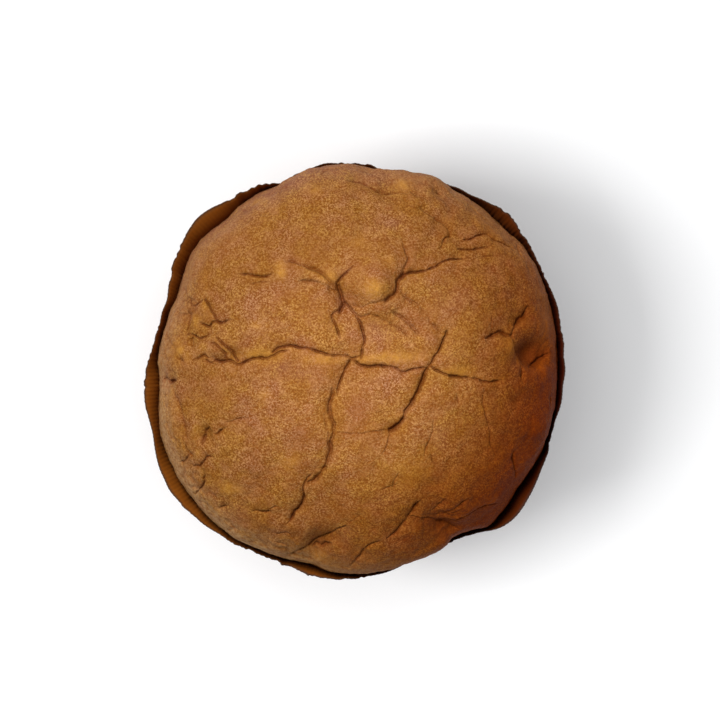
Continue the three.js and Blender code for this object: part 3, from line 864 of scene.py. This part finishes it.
def make_case():
    flutes = round(TAU * rim_radius(0) / FLUTE_PITCH)
    columns = flutes * COLUMNS_PER_FLUTE
    around = even_angles(columns)
    ripple = np.cos(flutes * around)
    swing = (PAPER - SHEET) / 2
    rim = rim_height(around)
    circle = ring(around, BASE_RADIUS, 0)
    bends = BEND_REACH * noise(circle, BEND_SIZE, 3)
    frayed = smooth(noise(circle, FRAY_PATCH, 5), *FRAY_FROM)
    frays = FRAY_REACH * noise(circle, FRAY_SIZE, 9) * frayed
    degrees = np.degrees(around)
    overlap = ((degrees > SEAM[0]) & (degrees < SEAM[1])) * SHEET

    def wall(share, inset):
        """A ring of the paper's outside or, with an inset, of its inside."""
        loose = smooth(share, *LOOSE_FROM)
        flute = swing * mix(1, RIM_FLUTE, loose)
        radius = wall_radius(around, np.full(columns, share)) - flute * (1 - loose - ripple) - inset
        torn = loose * (bends + frays / 2)
        radius += torn + overlap * (inset == 0)
        return ring(around, radius, share * rim + loose * frays)

    flat = BASE_RADIUS - BASE_FILLET
    crest = (1 + ripple) / 2
    below = np.linspace(LOWEST_SHARE, FLARE_START, WALL_RINGS)
    shares = [*below, *np.linspace(FLARE_START, 1, FLARE_RINGS)[1:]]
    outside = [
        ring(around, HEM_RADIUS - SHEET, BASE_RECESS),
        ring(around, HEM_RADIUS, HEM_FLUTE * crest),
        ring(around, flat, HEM_FLUTE * crest),
        ring(around, BASE_RADIUS - BASE_FILLET / 3, BASE_FILLET / 3),
        *[wall(share, 0) for share in shares],
    ]
    inside = [*[wall(share, SHEET) for share in shares[::-1]], ring(around, flat, PAPER)]
    rows = outside + inside
    points = np.vstack([[[0, 0, BASE_RECESS]], *rows, [[0, 0, PAPER]]])
    starts = 1 + np.arange(len(rows)) * columns
    bands = [band(upper, lower, columns) for lower, upper in zip(starts[:-1], starts[1:])]
    floor = fan(starts[-1], len(points) - 1, columns)[:, ::-1]
    faces = np.vstack([fan(1, 0, columns), *bands, floor])
    tones = {
        "inside": np.repeat([0, 1], [len(outside) * columns, len(inside) * columns]),
        "rim": np.concatenate([smooth(each[:, 2] / rim, *RIM_FROM) for each in rows]),
        "crest": np.tile(crest, len(rows)),
        "paper_shade": np.tile(towards(around, PAPER_SHADE_SIDE, PAPER_SHADE_NARROW), len(rows)),
    }
    # The first point is the middle of the base from below, and the last one the same from inside
    attributes = {key: [0, *values, key == "inside"] for key, values in tones.items()}
    return make_mesh("case_paper", points, faces, attributes)


# ---- Materials ----
# Where a Mix node has the sockets of its share and of its colours
MIX_SHARE, MIX_FIRST, MIX_SECOND, MIX_RESULT = 0, 6, 7, 2


class Shader:
    """Short ways to add and join the nodes of one material."""

    def __init__(self, name):
        self.material = bpy.data.materials.new(name)
        self.material.use_nodes = True
        self.tree = self.material.node_tree
        self.place = self.add("TexCoord", "Object", {})
        self.colour = None

    def add(self, kind, output, inputs, **settings):
        """Adds a node, joins or sets its inputs, and hands over one of its outputs."""
        node = self.tree.nodes.new("ShaderNode" + kind)
        for key, value in settings.items():
            setattr(node, key, value)
        self.fill(node, inputs)
        return node.outputs[output]

    def fill(self, node, inputs):
        for key, source in inputs.items():
            if hasattr(source, "is_output"):
                self.tree.links.new(source, node.inputs[key])
            else:
                node.inputs[key].default_value = source

    def noise(self, scale, detail, roughness=0.5):
        inputs = {"Vector": self.place, "Scale": scale, "Detail": detail, "Roughness": roughness}
        return self.add("TexNoise", "Fac", inputs)

    def cells(self, scale):
        """A random value, 0 to 1, for each cell of a seeded mosaic."""
        colours = self.add("TexVoronoi", "Color", {"Vector": self.place, "Scale": scale})
        return self.add("SeparateColor", "Red", {"Color": colours})

    def attribute(self, name):
        return self.add("Attribute", "Fac", {}, attribute_name=name)

    def math(self, operation, first, second=0.0):
        return self.add("Math", "Value", {0: first, 1: second}, operation=operation)

    def times(self, first, second):
        return self.math("MULTIPLY", first, second)

    def span(self, source, low, high, to_low=0.0, to_high=1.0):
        """The source, with low to high spread over another span and held to it."""
        ends = {"From Min": low, "From Max": high, "To Min": to_low, "To Max": to_high}
        return self.add("MapRange", "Result", {"Value": source, **ends})

    def blend(self, share, first, second, blend_type="MIX"):
        inputs = {MIX_SHARE: share, MIX_FIRST: first, MIX_SECOND: second}
        return self.add("Mix", MIX_RESULT, inputs, data_type="RGBA", blend_type=blend_type)

    def paint(self, share, *tone, blend_type="MIX"):
        """Covers the colour so far by this share with a tone from 0 to 255."""
        self.colour = self.blend(share, self.colour, srgb(*tone), blend_type)

    def bump(self, height, strength, distance, **below):
        """The normal of a bump map, on top of that of the bump map below."""
        inputs = {"Height": height, "Strength": strength, "Distance": distance, **below}
        return self.add("Bump", "Normal", inputs)

    def skin(self, roughness, specular, **normal):
        inputs = {"Base Color": self.colour, "Roughness": roughness, "Specular IOR Level": specular}
        self.fill(self.tree.nodes["Principled BSDF"], {**inputs, **normal})
        return self.material


def srgb(*tone):
    """A linear colour from the 0 to 255 values that a picture shows."""
    share = np.array(tone) / 255
    linear = np.where(share <= 0.04045, share / 12.92, ((share + 0.055) / 1.055) ** 2.4)
    return (*linear, 1)


def crust_material():
    s = Shader("crust")
    grain = s.noise(1300, 2)
    strand = s.math("ABSOLUTE", s.math("SUBTRACT", s.noise(860, 2, 0.6), 0.5))
    strand = s.times(s.span(strand, 0, 0.09, 1, 0), s.span(grain, 0.38, 0.6))
    fleck = s.span(s.cells(2100), 0.8, 0.95)
    light = s.math("MAXIMUM", strand, s.times(fleck, 0.7))
    light = s.times(light, s.span(s.noise(110, 3, 0.6), 0.38, 0.6, 0.6, 1.1))
    patches = s.span(s.noise(85, 4, 0.65), 0.4, 0.64)
    s.colour = s.blend(patches, srgb(147, 88, 28), srgb(145, 82, 38))
    s.paint(s.span(grain, 0.35, 0.65, 0.5, 0), 104, 54, 16)
    # dull plum-brown spots, and on the edge facing the light a painted grey sheen
    s.paint(s.times(s.attribute("dull"), 0.6), 132, 76, 60)
    lit = s.blend(patches, srgb(209, 155, 86), srgb(206, 151, 112))
    s.colour = s.blend(s.times(light, 0.9), s.colour, lit)
    s.paint(s.span(s.noise(230, 3, 0.6), 0.5, 0.72, 0, 0.35), 186, 130, 84)
    s.paint(s.span(s.noise(34, 2), 0.4, 0.7, 0, 0.25), 150, 90, 36)
    pale_patchiness = s.span(s.noise(300, 3, 0.6), 0.35, 0.65, 0.3, 0.75)
    # ochre spots, and painted highlight on lips and lit slopes
    s.paint(s.times(s.attribute("ochre_and_highlight"), pale_patchiness), 212, 150, 64)
    sheen_breakup = s.span(s.noise(560, 3, 0.6), 0.4, 0.62, 0.15, 0.9)
    # painted sheen: a grey tone at the edge, where light grazes the crust
    s.paint(s.times(s.attribute("edge_sheen"), sheen_breakup), 204, 162, 122)
    # painted shade: the crust darkens all round towards its edge, where the crown turns from the light
    s.paint(s.attribute("edge_shade"), 228, 227, 211, blend_type="MULTIPLY")
    s.paint(s.attribute("toasted"), 255, 250, 204, blend_type="MULTIPLY")
    # painted shade on the side away from the light, with deeper browning
    s.paint(s.attribute("browned_and_shaded"), 206, 140, 54, blend_type="MULTIPLY")
    # painted shade in slits, wrinkles and hollows
    s.paint(s.attribute("painted_shade"), 98, 40, 4)
    bumps = s.bump(light, 0.5, 0.00025)
    bumps = s.bump(s.noise(420, 4, 0.65), 0.6, 0.0008, Normal=bumps)
    bumps = s.bump(s.noise(150, 4, 0.65), 0.35, 0.002, Normal=bumps)
    return s.skin(roughness=0.75, specular=0.06, Normal=bumps)


def paper_material():
    s = Shader("baking_paper")
    stain_and_shade = s.noise(70, 3, 0.6)
    fibre = s.noise(900, 3, 0.7)
    s.colour = s.blend(s.span(stain_and_shade, 0.35, 0.65), srgb(112, 62, 24), srgb(138, 80, 34))
    s.paint(s.span(fibre, 0.4, 0.7, 0, 0.35), 156, 98, 50)
    s.paint(s.times(s.attribute("inside"), 0.8), 161, 92, 21)
    # painted shade: the troughs between the flutes are a little darker than the crests
    s.paint(s.span(s.attribute("crest"), 0, 1, 0.1, 0), 78, 38, 12)
    # painted shade on the side of the paper in the loaf's shadow
    s.paint(s.attribute("paper_shade"), 146, 92, 100, blend_type="MULTIPLY")
    s.paint(s.times(s.attribute("rim"), 0.85), 52, 38, 30)
    return s.skin(roughness=0.6, specular=0.12, Normal=s.bump(fibre, 0.3, 0.0003))


def floor_material():
    s = Shader("white_floor")
    s.colour = (0.9, 0.9, 0.9, 1)
    return s.skin(roughness=0.8, specular=0.1)


def dress(piece, material, node):
    piece.data.materials.append(material)
    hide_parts(node)
    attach(piece, "root")
    return piece


# ---- Camera, light and floor ----
FLOOR_HALF = 6
SKY_COLOUR = (0.95, 0.97, 1, 1)
SKY_STRENGTH = 0.32


def make_camera():
    data = bpy.data.cameras.new("camera")
    data.sensor_width = SENSOR
    data.lens = SENSOR * CAMERA_OVER_RIM / PICTURE_AT_RIM
    data.clip_start = 0.05
    data.clip_end = 50
    camera = add_object("camera", data)
    camera.location = Vector((*CAMERA_AT, RIM_HEIGHT + CAMERA_OVER_RIM)) * MM
    bpy.context.scene.camera = camera


def make_area_light(name, lit, azimuth, elevation, distance, size, power):
    """A square soft light aimed at the middle of the loaf, which lights only the pieces given."""
    data = bpy.data.lights.new(name, "AREA")
    data.shape = "SQUARE"
    data.size = size
    data.energy = power
    light = add_object(name, data)
    round_z, up = math.radians(azimuth), math.radians(elevation)
    flat = math.cos(up)
    away = Vector((math.cos(round_z) * flat, math.sin(round_z) * flat, math.sin(up)))
    light.location = away * distance + Vector((0, 0, RIM_HEIGHT * MM))
    light.rotation_euler = away.to_track_quat("Z", "Y").to_euler()
    light.visible_camera = False
    receivers = bpy.data.collections.new(name + "_receivers")
    for piece in lit:
        receivers.objects.link(piece)
    light.light_linking.receiver_collection = receivers


def make_floor():
    mesh = bpy.data.meshes.new("floor")
    low, high = -FLOOR_HALF, FLOOR_HALF
    corners = [(low, low, 0), (high, low, 0), (high, high, 0), (low, high, 0)]
    mesh.from_pydata(corners, [], [(0, 1, 2, 3)])
    mesh.materials.append(floor_material())
    floor = add_object("floor", mesh)
    return floor


def make_light(floor, pieces):
    world = bpy.data.worlds.new("studio")
    world.use_nodes = True
    sky = world.node_tree.nodes["Background"].inputs
    sky["Color"].default_value = SKY_COLOUR
    sky["Strength"].default_value = SKY_STRENGTH
    bpy.context.scene.world = world
    make_area_light("floor_key", [floor], azimuth=187, elevation=61, distance=1.6, size=0.5, power=17)
    make_area_light("floor_fill", [floor], azimuth=90, elevation=88, distance=2.5, size=2, power=36.5)
    make_area_light("crust_key", pieces, azimuth=124, elevation=65, distance=1.6, size=0.6, power=30)
    bpy.context.scene.view_settings.view_transform = "Standard"


make_camera()
loaf = dress(make_loaf(), crust_material(), "loaf")
case = dress(make_case(), paper_material(), "paper_case")
make_light(make_floor(), [loaf, case])
